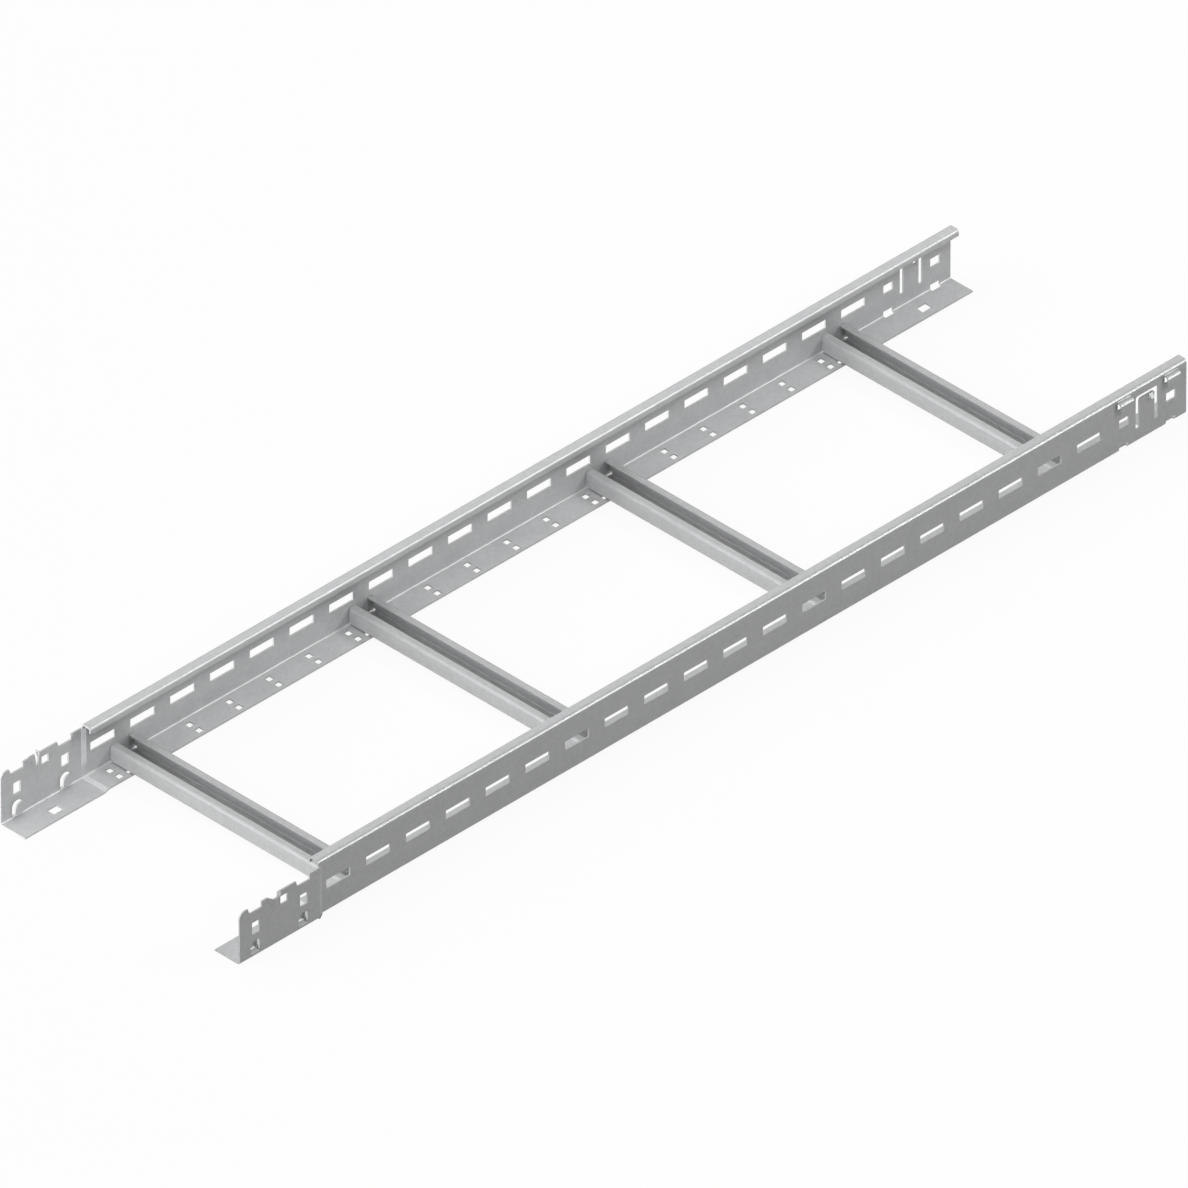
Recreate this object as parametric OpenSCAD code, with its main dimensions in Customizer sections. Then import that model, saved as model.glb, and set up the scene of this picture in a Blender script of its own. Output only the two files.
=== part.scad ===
// Cable ladder section: two folded side rails with plug-in ends, joined by C-shaped rungs.
// X runs along the ladder from the plug end to the socket end, Y across it, Z up.

/* [Ladder] */
// Overall length, plug end included
ladder_length = 1200; // [600:50:3000]
// Width over the outer faces of the side rails
ladder_width = 300; // [200:10:600]
// Sheet thickness of the side rails
rail_sheet = 1.5; // [1:0.1:2]

/* [Side rail section] */
// Height of the rail from flange underside to crest
rail_height = 60; // [52:1:90]
// Width of the bottom flange
flange_width = 30; // [28:1:40]
// Width of the top flange
top_flange_width = 12; // [10:0.5:18]
// Depth of the turned-down lip below the crest
lip_depth = 7; // [6:0.5:12]
// Inner radius of the folds
fold_radius = 1.75; // [1:0.25:2.5]

/* [Perforation] */
// Spacing of the slots and of the flange holes
slot_pitch = 50; // [40:5:60]
// Length of a slot in the web
slot_length = 30; // [20:1:34]
// Height of a slot in the web
slot_height = 9.5; // [6:0.5:12]
// Distance from the end of the plug to the first slot
slot_start = 125; // [120:1:140]
// Side of the square holes in the flange
flange_hole = 6.5; // [4:0.5:8]
// First row of flange holes, from the outer face of the web
flange_row_a = 10.75; // [8:0.25:12]
// Distance between the two rows of flange holes
flange_row_gap = 12; // [10:0.5:14]
// Length of the bolt hole in the flange of each end
end_hole_length = 12; // [8:0.5:16]
// Width of the bolt hole in the flange of each end
end_hole_width = 9; // [6:0.5:10]
// Centre of the bolt holes, from the outer face of the web
end_hole_inset = 17.5; // [14:0.5:20]

/* [Rungs] */
// Number of rungs
rung_count = 4; // [4:1:4]
// Distance between rungs
rung_pitch = 300; // [200:10:320]
// Distance from the end of the plug to the first rung
rung_start = 150; // [140:1:160]
// Width of a rung
rung_width = 32; // [26:1:40]
// Height of a rung
rung_height = 18; // [12:0.5:24]
// Width of the open slot along the top of a rung
rung_slot = 16; // [10:1:18]
// Sheet thickness of a rung
rung_sheet = 1.5; // [1:0.1:2]
// Inner radius of the folds of a rung
rung_fold = 1.5; // [0.5:0.25:2.5]
// Gap between the end of a rung and the web
rung_end_gap = 0.8; // [0.1:0.1:1.5]
// Side of the square holes under the edges of a rung
seat_hole = 5; // [3:0.5:6]
// Distance of these holes from the middle of the rung
seat_hole_offset = 14; // [8:0.25:16]
// Centre of these holes, from the outer face of the web
seat_hole_inset = 23.5; // [20:0.25:25]

/* [Plug end] */
// Length of the plug
plug_length = 100; // [96:1:120]
// Clearance between a plug and the socket it slides round
plug_clearance = 0.35; // [0.1:0.05:0.6]
// Length of the step between plug and rail
step_length = 5; // [3:0.5:8]
// Height of the plug web above its own underside
plug_height = 56; // [54:0.5:58]
// First latch station, from the end of the plug
latch_first = 20; // [19:0.5:24]
// Distance between the two latch stations
latch_spacing = 60; // [55:1:64]
// Centre of the square catch hole, from the end of the plug
catch_position = 55.25; // [50:0.25:58]

/* [Hidden] */
$fn = 48;

steel = "#b4b8bb";
rung_steel = "#c4c7c9";
through = 20;
// Length of a bent strip that stays in the plane of the web at its hinge
root = 0.5;
// Room left round the fold of the rail where a rung ends
relief = 2;

half_length = ladder_length / 2;
half_width = ladder_width / 2;
fold_outer = fold_radius + rail_sheet;

// The plug lies one sheet and the clearance outside the rail, on the web and under the flange.
plug_step = rail_sheet + plug_clearance;
rail_bottom = plug_step;
rail_top = rail_bottom + rail_height;
flange_top = rail_bottom + rail_sheet;
flange_edge = half_width - flange_width;
plug_face = half_width + plug_step;

plug_end = -half_length;
plug_root = plug_end + plug_length;
step_end = plug_root + step_length;
socket_root = half_length - plug_length;

// Turn and climb of the slanted step, and the flange's normal seen along the slant
step_turn = atan2(plug_step, step_length);
step_climb = atan2(plug_step, norm([step_length, plug_step]));
step_slope = plug_step / step_length;
step_lean = [sin(step_turn) * step_slope, sin(step_climb) * cos(step_turn) * step_slope + cos(step_climb)]
            / norm([1, step_slope]);

slot_level = rail_bottom + rail_height / 2;
slot_count = floor((ladder_length - 2 * slot_start) / slot_pitch) + 1;

latch_stations = [latch_first, latch_first + latch_spacing];
latch_hole_wide = 9;
latch_hole_tall = 12.7;

// Notches in the top of the plug, their floor set down from the crest so that the hooks reach it
notch_drop = 11.85;
notch_floor = rail_top - notch_drop;
notch_width = 15.5;
notch_slope = 2;
plug_corner = 6;

// Hooks of the socket, which reach over the notch floor and down outside the plug
hook_width = 16;
hook_rise = 7.4;
hook_grip = 2.15;
hook_slack = 1.65;
hook_root_radius = 1;
hook_bend_radius = 2.5;
hook_crest = notch_floor + hook_rise;
hook_hinge = hook_crest + hook_root_radius;
hook_tip = notch_floor - hook_grip;
hook_reach = plug_step + hook_slack + rail_sheet;

// Arched tabs of the plug, which pass through the corner windows of the socket
tab_width = 12;
tab_height = 14;
tab_foot = fold_outer + root;
tab_top = tab_foot + tab_height;
tab_gap = 0.4;
tab_reach_low = 3;
tab_reach_high = 4.5;
// Levels above the foot of the tab where its first slope ends and its second one runs
tab_bends = [2, 3, 4.5];
window_width = 12;
window_height = 6.3;
window_depth = 4.5;

// Sprung tongue of the socket, its nose and the square catch hole of the plug
catch_size = 8.75;
catch_drop = 4.8;
catch_level = notch_floor - catch_drop;
tongue_position = 49.25;
tongue_width = 19.6;
tongue_side_cut = 4.4;
tongue_top_cut = 3.6;
tongue_corner = 2.5;
tongue_drop = 1.8;
tongue_rise = 14.75;
tongue_foot = rail_bottom + tongue_rise;
tongue_head = notch_floor - tongue_drop;
nose_position = 54;
nose_width = 4.5;
nose_rise = 2;
nose_drop = 1.7;
nose_hole_drop = 3.7;
nose_top = catch_level + nose_rise;
nose_tip = catch_level - nose_drop;
nose_reach = plug_step + rail_sheet;

// Stop flap of the plug: a face leaning outwards from its foot, joined to the web by a flank
flap_left = 34.5;
flap_side = 39.8;
flap_edge = 45.3;
flap_foot_right = 46.6;
flap_right = 48;
flap_depth = 14.5;
flap_drop = 2.7;
flap_foot = plug_height - flap_depth;
flap_top = plug_height - flap_drop;
flap_reach = 3.3;
flank_tilt = atan2(flap_side - flap_left, plug_height - flap_foot);
flank_fall = (flap_top - flap_foot) * sin(flank_tilt);
flank_turn = atan2(flap_reach, flank_fall);
flank_wide = norm([flap_reach, flank_fall]) + rail_sheet;

// Ear of the plug, turned out beside the flap
ear_depth = 7.25;
ear_drop = 2;
ear_foot = plug_height - ear_depth;
ear_shoulder = plug_height - ear_drop;
ear_reach = 3.2;

function rung_position(n) = plug_end + rung_start + (n - 1) * rung_pitch;

// A sheet path of [outward, level] points, closed at thickness t to its left
function unit(v) = v / norm(v);
function left_of(a, b) = let (d = unit(b - a)) [-d[1], d[0]];
function offset_at(path, i, t) =
    let (last = len(path) - 1,
         n_in = left_of(path[max(i - 1, 0)], path[max(i, 1)]),
         n_out = left_of(path[min(i, last - 1)], path[min(i + 1, last)]))
    path[i] + (n_in + n_out) * t / (1 + n_in * n_out);
function strip(path, t) =
    concat(path, [for (i = [len(path) - 1:-1:0]) offset_at(path, i, t)]);

// A flat shape drawn as [Y, Z] and drawn out along X
module along_x(x_from, x_to) {
    translate([x_from, 0, 0])
        rotate([90, 0, 90])
            linear_extrude(x_to - x_from)
                children();
}

// A flat shape drawn as [X, Z] and drawn out across the web, from y_from to y_to
module across_web(y_from, y_to) {
    translate([0, y_to, 0])
        rotate([90, 0, 0])
            linear_extrude(y_to - y_from)
                children();
}

module box(x, y, z) {
    translate([x[0], y[0], z[0]])
        cube([x[1] - x[0], y[1] - y[0], z[1] - z[0]]);
}

module fold_2d(centre, r_inner, sheet, turn) {
    translate(centre)
        rotate(turn)
            intersection() {
                difference() {
                    circle(r_inner + sheet);
                    circle(r_inner);
                }
                square(r_inner + sheet);
            }
}

module span_2d(a, b) {
    translate(a)
        square(b - a);
}

// Flange, fold and web of a rail or plug, up to a level
module foot_2d(face, bottom, top) {
    span_2d([flange_edge, bottom], [face - fold_outer, bottom + rail_sheet]);
    fold_2d([face - fold_outer, bottom + fold_outer], fold_radius, rail_sheet, -90);
    span_2d([face - rail_sheet, bottom + fold_outer], [face, top]);
}

// Top fold, top flange and turned-down lip
module crest_2d() {
    lip_face = half_width - top_flange_width;
    fold_2d([half_width - fold_outer, rail_top - fold_outer], fold_radius, rail_sheet, 0);
    span_2d([lip_face + fold_outer, rail_top - rail_sheet], [half_width - fold_outer, rail_top]);
    fold_2d([lip_face + fold_outer, rail_top - fold_outer], fold_radius, rail_sheet, 90);
    span_2d([lip_face, rail_top - lip_depth], [lip_face + rail_sheet, rail_top - fold_outer]);
}

module rail_2d() {
    foot_2d(half_width, rail_bottom, rail_top - fold_outer);
    crest_2d();
}

// A flat shape drawn square to the slant of the step, and drawn out along it
module along_step() {
    translate([plug_root, plug_face, 0])
        rotate([0, -step_climb, -step_turn])
            rotate([90, 0, 90])
                translate([0, 0, -step_length])
                    linear_extrude(4 * step_length)
                        children();
}

// What the fold takes off the sharp corner between the slanted web and flange
module corner_2d(r) {
    centre = [-r, r * (1 - step_lean[0]) / step_lean[1]];
    difference() {
        polygon([[0, 0], [0, centre[1]], centre, centre + r * [step_lean[0], -step_lean[1]]]);
        translate(centre)
            circle(r);
    }
}

// The space inside the slanted web and flange, at a depth below their outer faces
module step_block(depth, r) {
    difference() {
        intersection() {
            translate([0, 0, -1])
                linear_extrude(plug_height + 1)
                    polygon([[plug_root, flange_edge], [step_end, flange_edge],
                             [step_end, half_width - depth], [plug_root, plug_face - depth]]);
            across_web(flange_edge - 1, plug_face + 1)
                polygon([[plug_root, depth], [step_end, rail_bottom + depth],
                         [step_end, plug_height + 1], [plug_root, plug_height + 1]]);
        }
        translate([0, -depth, depth])
            along_step()
                corner_2d(r);
    }
}

// Step between plug and rail: web, fold and flange move in and up by the plug step
module plug_root_step() {
    difference() {
        step_block(0, fold_outer);
        step_block(rail_sheet, fold_radius);
    }
}

// A strip of sheet bent out of the web: its path is drawn as [outward, level]
module bent_strip(x_middle, wide, face, path) {
    along_x(x_middle - wide / 2, x_middle + wide / 2)
        translate([face, 0])
            polygon(strip(path, -rail_sheet));
}

module plug_outline() {
    top = plug_height;
    over = top + through;
    difference() {
        span_2d([plug_end - 1, top - plug_corner], [plug_end + plug_corner, over]);
        translate([plug_end + plug_corner, top - plug_corner])
            circle(plug_corner);
    }
    for (s = latch_stations)
        polygon([[plug_end + s - notch_width / 2 - notch_slope, over],
                 [plug_end + s - notch_width / 2 - notch_slope, top],
                 [plug_end + s - notch_width / 2, notch_floor],
                 [plug_end + s + notch_width / 2, notch_floor],
                 [plug_end + s + notch_width / 2, over]]);
}

module flap_outline() {
    over = plug_height + through;
    polygon([[plug_end + flap_left, over], [plug_end + flap_left, plug_height],
             [plug_end + flap_side, flap_foot], [plug_end + flap_foot_right, flap_foot],
             [plug_end + flap_right, plug_height], [plug_end + flap_right, over]]);
}

module tab_outline(x, wide, top) {
    translate([x - wide / 2, 0])
        square([wide, top - wide / 2]);
    translate([x, top - wide / 2])
        circle(wide / 2);
}

module plug_cuts() {
    y = [plug_face - through / 2, plug_face + through / 2];
    across_web(y[0], y[1])
        plug_outline();
    across_web(y[0], y[1])
        flap_outline();
    for (s = latch_stations) {
        x = plug_end + s;
        box([x - latch_hole_wide / 2, x + latch_hole_wide / 2], y,
            [slot_level - latch_hole_tall / 2, slot_level + latch_hole_tall / 2]);
        across_web(y[0], y[1])
            intersection() {
                tab_outline(x, tab_width + 2 * tab_gap, tab_top + tab_gap);
                span_2d([x - through, tab_foot], [x + through, plug_height]);
            }
    }
    x = plug_end + catch_position;
    box([x - catch_size / 2, x + catch_size / 2], y,
        [catch_level - catch_size / 2, catch_level + catch_size / 2]);
}

module plug_tabs() {
    for (s = latch_stations)
        intersection() {
            bent_strip(plug_end + s, tab_width, plug_face,
                       [[-tab_reach_high, tab_top], [-tab_reach_high, tab_foot + tab_bends[2]],
                        [-tab_reach_low, tab_foot + tab_bends[1]],
                        [-tab_reach_low, tab_foot + tab_bends[0]],
                        [0, tab_foot], [0, fold_outer]]);
            across_web(plug_face - through, plug_face + through)
                tab_outline(plug_end + s, tab_width, tab_top);
        }
}

module plug_flap() {
    bent_strip(plug_end + (flap_side + flap_edge) / 2, flap_edge - flap_side, plug_face,
               [[flap_reach, flap_top], [0, flap_foot], [0, flap_foot - root]]);
    intersection() {
        translate([plug_end + flap_side, plug_face, flap_foot])
            rotate([0, -flank_tilt, 0])
                translate([0, 0, -rail_sheet])
                    linear_extrude(plug_height)
                        polygon(strip([[-root, 0], [0, 0],
                                       flank_wide * [cos(flank_turn), sin(flank_turn)]],
                                      -rail_sheet));
        across_web(plug_face - through, plug_face + through)
            polygon([[plug_end + flap_left - root, plug_height],
                     [plug_end + flap_side - root, flap_foot], [plug_end + flap_side, flap_foot],
                     [plug_end + flap_side, flap_top], [plug_end + flap_left, plug_height]]);
    }
}

module plug_ear() {
    along_x(plug_end + flap_right, plug_end + flap_right + rail_sheet)
        translate([plug_face, 0])
            polygon([[-rail_sheet, ear_foot], [0, ear_foot], [ear_reach, ear_shoulder],
                     [ear_reach, plug_height], [-rail_sheet, plug_height]]);
}

module socket_cuts() {
    y = [half_width - through / 2, half_width + through / 2];
    for (s = latch_stations) {
        x = socket_root + s;
        box([x - window_width / 2, x + window_width / 2], y,
            [slot_level - slot_height / 2, slot_level + slot_height / 2]);
        box([x - window_width / 2, x + window_width / 2], [half_width - window_depth, y[1]],
            [0, rail_bottom + window_height]);
        box([x - hook_width / 2, x + hook_width / 2], y, [hook_tip, hook_hinge]);
    }
    tongue_cuts(y);
}

// A rectangle with its two upper corners rounded
module arch_2d(a, b, r) {
    span_2d(a, [b[0], b[1] - r]);
    span_2d([a[0] + r, a[1]], [b[0] - r, b[1]]);
    for (x = [a[0] + r, b[0] - r])
        translate([x, b[1] - r])
            circle(r);
}

module tongue_cuts(y) {
    x = socket_root + tongue_position;
    half_tongue = tongue_width / 2;
    half_cut = half_tongue + tongue_side_cut;
    across_web(y[0], y[1])
        difference() {
            arch_2d([x - half_cut, tongue_foot], [x + half_cut, tongue_head + tongue_top_cut],
                    tongue_corner);
            arch_2d([x - half_tongue, 0], [x + half_tongue, tongue_head], tongue_corner);
        }
    nose_x = socket_root + nose_position;
    box([nose_x - nose_width / 2, nose_x + nose_width / 2], y,
        [catch_level - nose_hole_drop, nose_top]);
}

// A hook from the side: turned out of the web, over and down
module hook_2d() {
    bend_outer = hook_bend_radius + rail_sheet;
    shelf_end = half_width + hook_reach - bend_outer;
    span_2d([half_width - rail_sheet, hook_hinge], [half_width, hook_hinge + root]);
    fold_2d([half_width + hook_root_radius, hook_hinge], hook_root_radius, rail_sheet, 180);
    span_2d([half_width + hook_root_radius - root, hook_crest - rail_sheet + root / 2],
            [shelf_end + root, hook_crest - root / 2]);
    fold_2d([shelf_end, hook_crest - bend_outer], hook_bend_radius, rail_sheet, 0);
    span_2d([half_width + hook_reach - rail_sheet, hook_tip],
            [half_width + hook_reach, hook_crest - bend_outer]);
}

module socket_hooks() {
    for (s = latch_stations)
        along_x(socket_root + s - hook_width / 2, socket_root + s + hook_width / 2)
            hook_2d();
    bent_strip(socket_root + nose_position, nose_width, half_width,
               [[0, nose_top + root], [0, nose_top], [nose_reach, nose_tip]]);
}

module web_slots() {
    for (i = [0:slot_count - 1]) {
        x = plug_end + slot_start + i * slot_pitch;
        box([x - slot_length / 2, x + slot_length / 2],
            [half_width - through / 2, half_width + through / 2],
            [slot_level - slot_height / 2, slot_level + slot_height / 2]);
    }
}

module flange_cut(x, y, long, wide) {
    box([x - long / 2, x + long / 2], [y - wide / 2, y + wide / 2], [-1, flange_top + 1]);
}

module flange_holes() {
    for (i = [0:slot_count - 1], row = [0, 1])
        flange_cut(plug_end + slot_start + i * slot_pitch,
                   half_width - flange_row_a - row * flange_row_gap, flange_hole, flange_hole);
    for (x = [plug_end + plug_length / 2, half_length - plug_length / 2])
        flange_cut(x, half_width - end_hole_inset, end_hole_length, end_hole_width);
    for (n = [1:rung_count], side = [-1, 1])
        flange_cut(rung_position(n) + side * seat_hole_offset, half_width - seat_hole_inset,
                   seat_hole, seat_hole);
}

module side_rail() {
    difference() {
        union() {
            along_x(plug_end, plug_root)
                foot_2d(plug_face, 0, plug_height);
            plug_root_step();
            along_x(step_end, half_length)
                rail_2d();
            along_x(plug_root, step_end)
                intersection() {
                    rail_2d();
                    span_2d([0, plug_height], [half_width, rail_top]);
                }
        }
        plug_cuts();
        socket_cuts();
        web_slots();
        flange_holes();
    }
    plug_tabs();
    plug_flap();
    plug_ear();
    socket_hooks();
}

module rung_2d() {
    w = rung_width / 2;
    bend = rung_fold + rung_sheet;
    span_2d([bend - w, 0], [w - bend, rung_sheet]);
    for (side = [0, 1])
        mirror([side, 0]) {
            fold_2d([w - bend, bend], rung_fold, rung_sheet, -90);
            span_2d([w - rung_sheet, bend], [w, rung_height - bend]);
            fold_2d([w - bend, rung_height - bend], rung_fold, rung_sheet, 0);
            span_2d([rung_slot / 2, rung_height - rung_sheet], [w - bend, rung_height]);
        }
}

module rung(n) {
    reach = half_width - rail_sheet - rung_end_gap;
    translate([rung_position(n), 0, flange_top])
        difference() {
            translate([0, reach, 0])
                rotate([90, 0, 0])
                    linear_extrude(2 * reach)
                        rung_2d();
            for (side = [0, 1])
                mirror([0, side, 0])
                    translate([-rung_width, half_width - fold_outer - relief, -1])
                        cube([2 * rung_width, fold_outer, fold_radius + 1 + relief]);
        }
}

module side_rail_left() {
    color(steel)
        side_rail();
}

module side_rail_right() {
    color(steel)
        mirror([0, 1, 0])
            side_rail();
}

module rung_1() { color(rung_steel) rung(1); }
module rung_2() { color(rung_steel) rung(2); }
module rung_3() { color(rung_steel) rung(3); }
module rung_4() { color(rung_steel) rung(4); }

side_rail_left();
side_rail_right();
rung_1();
rung_2();
rung_3();
rung_4();
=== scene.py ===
import bpy
from mathutils import Matrix, Vector


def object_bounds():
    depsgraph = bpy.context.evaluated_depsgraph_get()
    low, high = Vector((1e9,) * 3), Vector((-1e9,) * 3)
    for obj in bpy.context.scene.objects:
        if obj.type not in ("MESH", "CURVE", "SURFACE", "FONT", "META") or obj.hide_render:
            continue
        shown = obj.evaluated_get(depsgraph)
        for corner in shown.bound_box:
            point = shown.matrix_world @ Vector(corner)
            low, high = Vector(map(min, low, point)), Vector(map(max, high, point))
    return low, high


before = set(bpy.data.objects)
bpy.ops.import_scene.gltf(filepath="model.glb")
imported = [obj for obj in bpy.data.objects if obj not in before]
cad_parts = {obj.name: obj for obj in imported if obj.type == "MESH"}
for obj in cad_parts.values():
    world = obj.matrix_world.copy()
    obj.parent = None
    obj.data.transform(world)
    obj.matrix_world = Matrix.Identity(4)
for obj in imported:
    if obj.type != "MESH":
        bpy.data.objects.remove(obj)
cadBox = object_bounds()
print("cable ladder loaded:", ", ".join(sorted(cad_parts)))


# camera

viewSetup = {
    "towardsViewer": (-1, -1, 1),            # the plug end and the right-hand rail come nearest
    # the point that shows in the middle of the picture
    "framePoint": (-0.24401, -0.24038, 0.27017),
    "frameWidth": 1.0633,                    # metres across the picture at the ladder's middle
    "lens": 1700,                            # so long that the rails stay parallel
    "sensorWidth": 36,
    "nearLimit": 1,                          # metres in front of the camera where seeing starts
}


def makeCamera(setup):
    camera = bpy.data.cameras.new("ladderCamera")
    camera.sensor_width = setup["sensorWidth"]
    camera.lens = setup["lens"]
    rig = bpy.data.objects.new("ladderCamera", camera)
    bpy.context.collection.objects.link(rig)
    back = Vector(setup["towardsViewer"]).normalized()
    middle = (cadBox[0] + cadBox[1]) / 2
    aim = Vector(setup["framePoint"])
    distance = setup["frameWidth"] * setup["lens"] / camera.sensor_width
    rig.location = aim + back * (distance + (middle - aim).dot(back))
    rig.rotation_euler = back.to_track_quat("Z", "Y").to_euler()
    camera.clip_start = setup["nearLimit"]
    camera.clip_end = 2 * distance
    bpy.context.scene.camera = rig


makeCamera(viewSetup)
print("camera placed")


# small helpers for node trees

def addNode(tree, kind, inputs=None, **settings):
    node = tree.nodes.new(kind)
    for name, value in settings.items():
        setattr(node, name, value)
    for name, value in (inputs or {}).items():
        if isinstance(value, bpy.types.NodeSocket):
            tree.links.new(value, node.inputs[name])
        else:
            node.inputs[name].default_value = value
    return node


def maths(tree, operation, a, b=0.0):
    return addNode(tree, "ShaderNodeMath", {0: a, 1: b}, operation=operation).outputs[0]


def vectorMaths(tree, operation, a, b, c=(0, 0, 0), output="Vector"):
    node = addNode(tree, "ShaderNodeVectorMath", {0: a, 1: b, 2: c}, operation=operation)
    return node.outputs[output]


midTone = 0.5                                # patterns run from 0 to 1 and swing about this


def swing(tree, pattern, contrast):
    return maths(tree, "MULTIPLY", maths(tree, "SUBTRACT", pattern, midTone), contrast)


# zinc coating: crystals, cloudy patches and rolling lines

zincPattern = {
    "waverScale": 420.0,                     # how closely the crystals' borders waver
    "waverReach": (0.003, 0.003, 0.003),     # how far, in metres
    "waverDetail": 2.0,
    "patchDetail": 3.0,
    "grainDetail": 4.0,
    "crystalRelief": 0.4,                    # height of the crystals beside that of the lines
}

# what each finish sets in the coating: socket, the kind of value, its name in the finish
coatingInputs = [
    ("Crystal Size", "NodeSocketFloat", "crystalSize"),
    ("Crystal Contrast", "NodeSocketFloat", "crystalContrast"),
    ("Patch Size", "NodeSocketFloat", "patchSize"),
    ("Patch Contrast", "NodeSocketFloat", "patchContrast"),
    ("Grain Stretch", "NodeSocketVector", "grainStretch"),
    ("Grain Contrast", "NodeSocketFloat", "grainContrast"),
]


def makeZincGroup(pattern):
    group = bpy.data.node_groups.new("zincCoating", "ShaderNodeTree")
    for socket, kind, _ in coatingInputs:
        group.interface.new_socket(socket, in_out="INPUT", socket_type=kind)
    for socket in ("Tone", "Relief"):
        group.interface.new_socket(socket, in_out="OUTPUT", socket_type="NodeSocketFloat")
    given = addNode(group, "NodeGroupInput").outputs
    place = addNode(group, "ShaderNodeTexCoord").outputs["Object"]

    # crystals: cells with wavering borders, each with its own brightness
    waver = addNode(group, "ShaderNodeTexNoise", {
        "Vector": place, "Scale": pattern["waverScale"], "Detail": pattern["waverDetail"]})
    shifted = vectorMaths(
        group, "MULTIPLY_ADD", waver.outputs["Color"], pattern["waverReach"], place)
    cellScale = maths(group, "DIVIDE", 1.0, given["Crystal Size"])
    cells = addNode(group, "ShaderNodeTexVoronoi", {"Vector": shifted, "Scale": cellScale})
    cellParts = addNode(group, "ShaderNodeSeparateColor", {"Color": cells.outputs["Color"]})
    cellTone = cellParts.outputs["Red"]
    crystal = swing(group, cellTone, given["Crystal Contrast"])

    # cloudy patches
    patchScale = maths(group, "DIVIDE", 1.0, given["Patch Size"])
    clouds = addNode(group, "ShaderNodeTexNoise", {
        "Vector": place, "Scale": patchScale, "Detail": pattern["patchDetail"]})
    patch = swing(group, clouds.outputs[0], given["Patch Contrast"])

    # rolling lines along the sheet
    drawn = vectorMaths(group, "MULTIPLY", place, given["Grain Stretch"])
    lines = addNode(group, "ShaderNodeTexNoise", {
        "Vector": drawn, "Scale": 1.0, "Detail": pattern["grainDetail"]})
    grain = swing(group, lines.outputs[0], given["Grain Contrast"])

    total = maths(group, "ADD", maths(group, "ADD", crystal, patch), grain)
    tone = maths(group, "ADD", total, midTone)
    raised = maths(group, "MULTIPLY", cellTone, pattern["crystalRelief"])
    relief = maths(group, "ADD", raised, lines.outputs[0])
    addNode(group, "NodeGroupOutput", {"Tone": tone, "Relief": relief})
    return group


railFinish = {
    "darkZinc": (0.44, 0.445, 0.45, 1),
    "lightZinc": (0.54, 0.545, 0.55, 1),
    "metallic": 0.16,
    "dullRoughness": 0.43,
    "brightRoughness": 0.34,
    "crystalSize": 0.0030,
    "crystalContrast": 0.45,
    "patchSize": 0.030,
    "patchContrast": 0.60,
    "grainStretch": (25, 700, 700),          # lines run along the rail
    "grainContrast": 0.40,
    "reliefDepth": 0.00004,                  # metres
    "reliefStrength": 0.2,
}

rungFinish = {
    "darkZinc": (0.50, 0.505, 0.51, 1),
    "lightZinc": (0.64, 0.645, 0.65, 1),
    "metallic": 0.10,
    "dullRoughness": 0.50,
    "brightRoughness": 0.38,
    "crystalSize": 0.0028,
    "crystalContrast": 0.35,
    "patchSize": 0.030,
    "patchContrast": 0.45,
    "grainStretch": (900, 12, 900),          # lines run along the rung
    "grainContrast": 0.90,
    "reliefDepth": 0.00004,                  # metres
    "reliefStrength": 0.2,
}


def makeGalvanised(name, finish, zinc):
    material = bpy.data.materials.new(name)
    material.use_nodes = True
    tree = material.node_tree
    tree.nodes.clear()
    values = {socket: finish[value] for socket, _, value in coatingInputs}
    coating = addNode(tree, "ShaderNodeGroup", values, node_tree=zinc)
    # inputs 6 and 7 of the mix are its two colours
    colour = addNode(tree, "ShaderNodeMix", {
        0: coating.outputs["Tone"], 6: finish["darkZinc"], 7: finish["lightZinc"],
    }, data_type="RGBA")
    roughness = addNode(tree, "ShaderNodeMapRange", {
        "Value": coating.outputs["Tone"],
        "To Min": finish["dullRoughness"], "To Max": finish["brightRoughness"]})
    bump = addNode(tree, "ShaderNodeBump", {
        "Height": coating.outputs["Relief"],
        "Distance": finish["reliefDepth"], "Strength": finish["reliefStrength"]})
    shader = addNode(tree, "ShaderNodeBsdfPrincipled", {
        "Base Color": colour.outputs[2], "Roughness": roughness.outputs[0],
        "Normal": bump.outputs[0], "Metallic": finish["metallic"]})
    addNode(tree, "ShaderNodeOutputMaterial", {"Surface": shader.outputs[0]})
    return material


zincCoating = makeZincGroup(zincPattern)
steel = {
    "rail": makeGalvanised("galvanisedRail", railFinish, zincCoating),
    "rung": makeGalvanised("galvanisedRung", rungFinish, zincCoating),
}
for name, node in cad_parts.items():
    for slot in node.material_slots:
        slot.material = steel["rung" if name.startswith("rung") else "rail"]
print("zinc coating laid on", len(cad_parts), "pieces")


# floor and light

plainWhite = (1, 1, 1, 1)

studio = {
    "floorHalf": 12.0,                       # metres from the middle to each side
    "floorColour": (0.18, 0.18, 0.18, 1),    # what the floor throws back on the steel
    "floorWhite": 0.92,                      # share of the seen floor that is plain white
    "paperColour": (0.95, 0.95, 0.95, 1),    # the rest of it, which takes the shadows
    "skyAllRound": 0.03,
}

# bright parts of the sky: direction, how narrow, strength
skyGlows = [
    ((-1, 0.25, 0.10), 3.0, 3.7),            # low glow beyond the plug end
    ((0.2, 0.5, 0.85), 3.0, 0.90),           # high glow over the ladder
]

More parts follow.
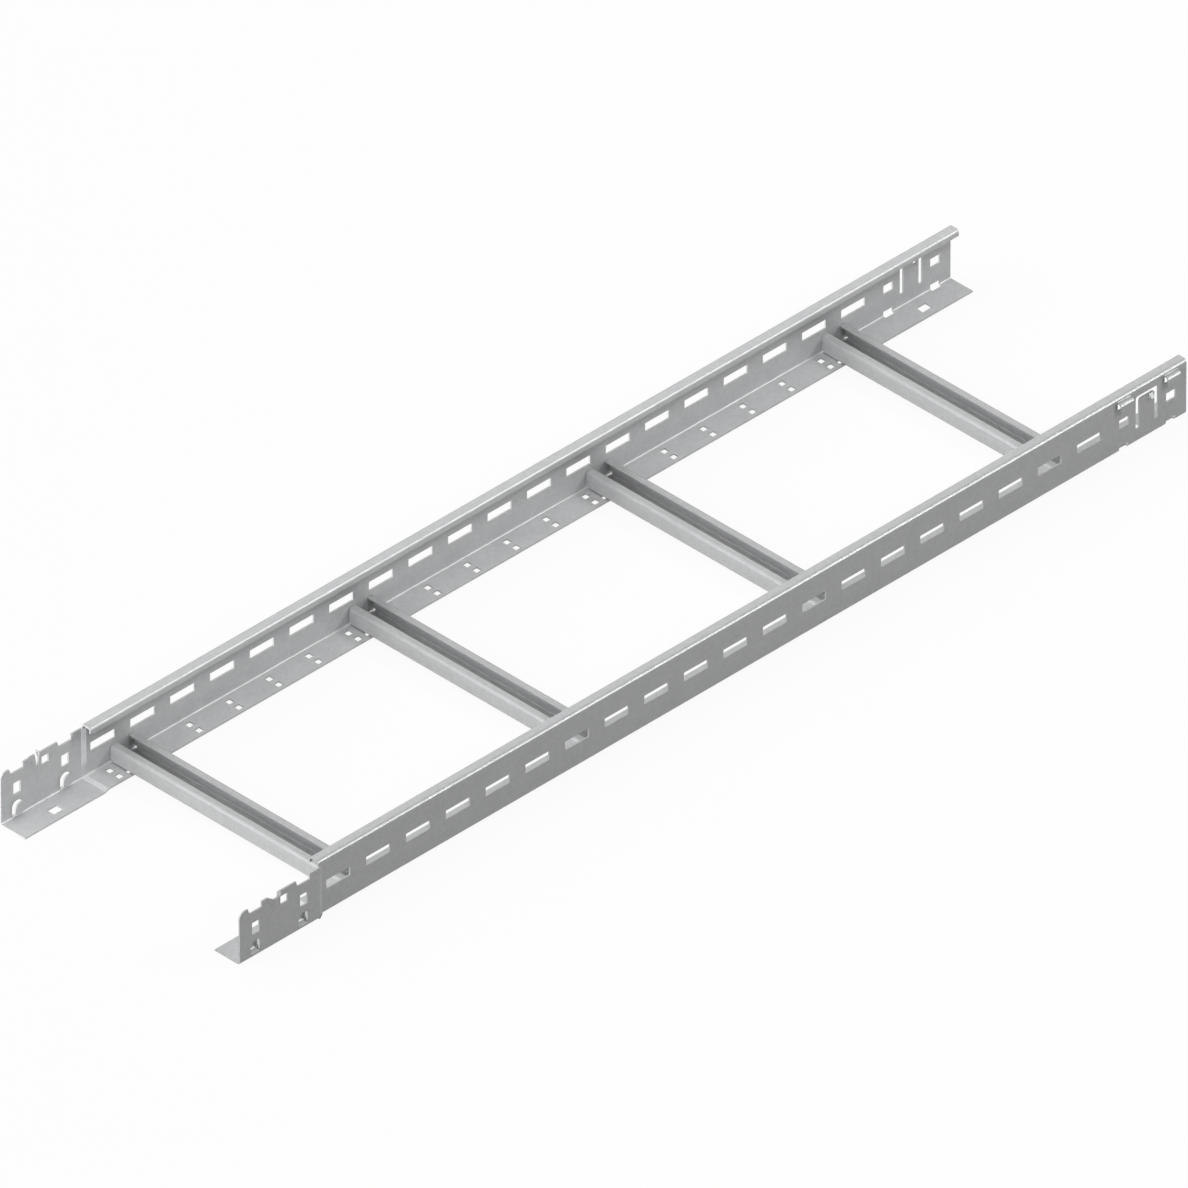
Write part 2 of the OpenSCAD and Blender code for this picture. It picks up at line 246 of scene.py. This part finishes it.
# soft oval lamps: where each stands, the way its height runs, its width and height in metres,
# its watts, and the pieces it lights, which are all of them when none is named. One with
# onlyShine shows as shine on them and gives them no other light.
lamps = {
    "edgeLamp": {                            # the main lamp, which lights every piece
        "direction": (1, -1, 1), "distance": 8.0, "heightAlong": (0, 1, 1),
        "size": (1.0, 3.4), "power": 200, "pieces": [], "onlyShine": False,
    },
    "nearFoldLamp": {                        # draws the bright lines along the near rail's folds
        "direction": (0.577, -0.80, 0.20), "distance": 8.0, "heightAlong": (0, 0, 1),
        "size": (4.0, 1.4), "power": 450, "pieces": ["side_rail_right"], "onlyShine": True,
    },
    "farFoldLamp": {                         # draws those along the far rail's
        "direction": (0.577, -0.75, 0.33), "distance": 8.0, "heightAlong": (0, 0, 1),
        "size": (4.0, 1.4), "power": 200, "pieces": ["side_rail_left"], "onlyShine": True,
    },
    "innerLamp": {                           # fills the inside of the far rail
        "direction": (-0.2, -1, 2.0), "distance": 5.0, "heightAlong": (1, 0, 0),
        "size": (2.0, 2.0), "power": 97, "pieces": ["side_rail_left"], "onlyShine": False,
    },
    "stepLamp": {                            # grazes the far rail from beyond its plug end
        "direction": (-1, -0.05, 0.04), "distance": 6.0, "heightAlong": (0, 0, 1),
        "size": (0.6, 0.6), "power": 310, "pieces": ["side_rail_left"], "onlyShine": False,
    },
    "flangeLamp": {                          # fills the inside of the near rail
        "direction": (-0.3, 1, 1), "distance": 5.0, "heightAlong": (1, 0, 0),
        "size": (2.0, 2.0), "power": 95, "pieces": ["side_rail_right"], "onlyShine": False,
    },
}


def seenDirectly(tree):
    ray = addNode(tree, "ShaderNodeLightPath").outputs
    seen = maths(tree, "ADD", ray["Is Camera Ray"], ray["Is Glossy Ray"])
    seen = maths(tree, "ADD", seen, ray["Is Transmission Ray"])
    return maths(tree, "MINIMUM", seen, 1.0)


def makeFloor(setup):
    half = setup["floorHalf"]
    mesh = bpy.data.meshes.new("floor")
    corners = [(-half, -half, 0), (half, -half, 0), (half, half, 0), (-half, half, 0)]
    mesh.from_pydata(corners, [], [(0, 1, 2, 3)])
    floor = bpy.data.objects.new("floor", mesh)
    bpy.context.collection.objects.link(floor)
    material = bpy.data.materials.new("paleFloor")
    material.use_nodes = True
    tree = material.node_tree
    tree.nodes.clear()
    dull = addNode(tree, "ShaderNodeBsdfDiffuse", {"Color": setup["floorColour"]})
    paper = addNode(tree, "ShaderNodeBsdfDiffuse", {"Color": setup["paperColour"]})
    glow = addNode(tree, "ShaderNodeEmission", {"Color": plainWhite, "Strength": 1.0})
    white = addNode(tree, "ShaderNodeMixShader", {
        0: setup["floorWhite"], 1: paper.outputs[0], 2: glow.outputs[0]})
    mixed = addNode(tree, "ShaderNodeMixShader", {
        0: seenDirectly(tree), 1: dull.outputs[0], 2: white.outputs[0]})
    addNode(tree, "ShaderNodeOutputMaterial", {"Surface": mixed.outputs[0]})
    mesh.materials.append(material)


def makeSky(setup, glows):
    world = bpy.data.worlds.new("studioSky")
    bpy.context.scene.world = world
    world.use_nodes = True
    tree = world.node_tree
    tree.nodes.clear()
    heading = addNode(tree, "ShaderNodeTexCoord").outputs["Generated"]
    strength = setup["skyAllRound"]
    for direction, focus, power in glows:
        towards = tuple(Vector(direction).normalized())
        facing = vectorMaths(tree, "DOT_PRODUCT", heading, towards, output="Value")
        glow = maths(tree, "POWER", maths(tree, "MAXIMUM", facing, 0.0), focus)
        strength = maths(tree, "ADD", strength, maths(tree, "MULTIPLY", glow, power))
    lit = addNode(tree, "ShaderNodeBackground", {"Color": plainWhite, "Strength": strength})
    plain = addNode(tree, "ShaderNodeBackground", {"Color": plainWhite, "Strength": 1.0})
    seen = addNode(tree, "ShaderNodeLightPath").outputs["Is Camera Ray"]
    mixed = addNode(tree, "ShaderNodeMixShader", {0: seen, 1: lit.outputs[0], 2: plain.outputs[0]})
    addNode(tree, "ShaderNodeOutputWorld", {"Surface": mixed.outputs[0]})


def makeLamp(name, setup):
    lamp = bpy.data.lights.new(name, "AREA")
    lamp.shape = "ELLIPSE"
    lamp.size, lamp.size_y = setup["size"]
    lamp.energy = setup["power"]
    rig = bpy.data.objects.new(name, lamp)
    bpy.context.collection.objects.link(rig)
    towards = Vector(setup["direction"]).normalized()
    across = Vector(setup["heightAlong"]).cross(towards).normalized()
    turn = Matrix((across, towards.cross(across), towards)).transposed()
    rig.matrix_world = Matrix.Translation(towards * setup["distance"]) @ turn.to_4x4()
    rig.visible_camera = False
    rig.visible_diffuse = not setup["onlyShine"]
    if setup["pieces"]:
        lit = bpy.data.collections.new(name + "Pieces")
        for piece in setup["pieces"]:
            lit.objects.link(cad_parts[piece])
        rig.light_linking.receiver_collection = lit


makeFloor(studio)
makeSky(studio, skyGlows)
for name, setup in lamps.items():
    makeLamp(name, setup)
bpy.context.scene.view_settings.view_transform = "Standard"
print("floor and light ready")
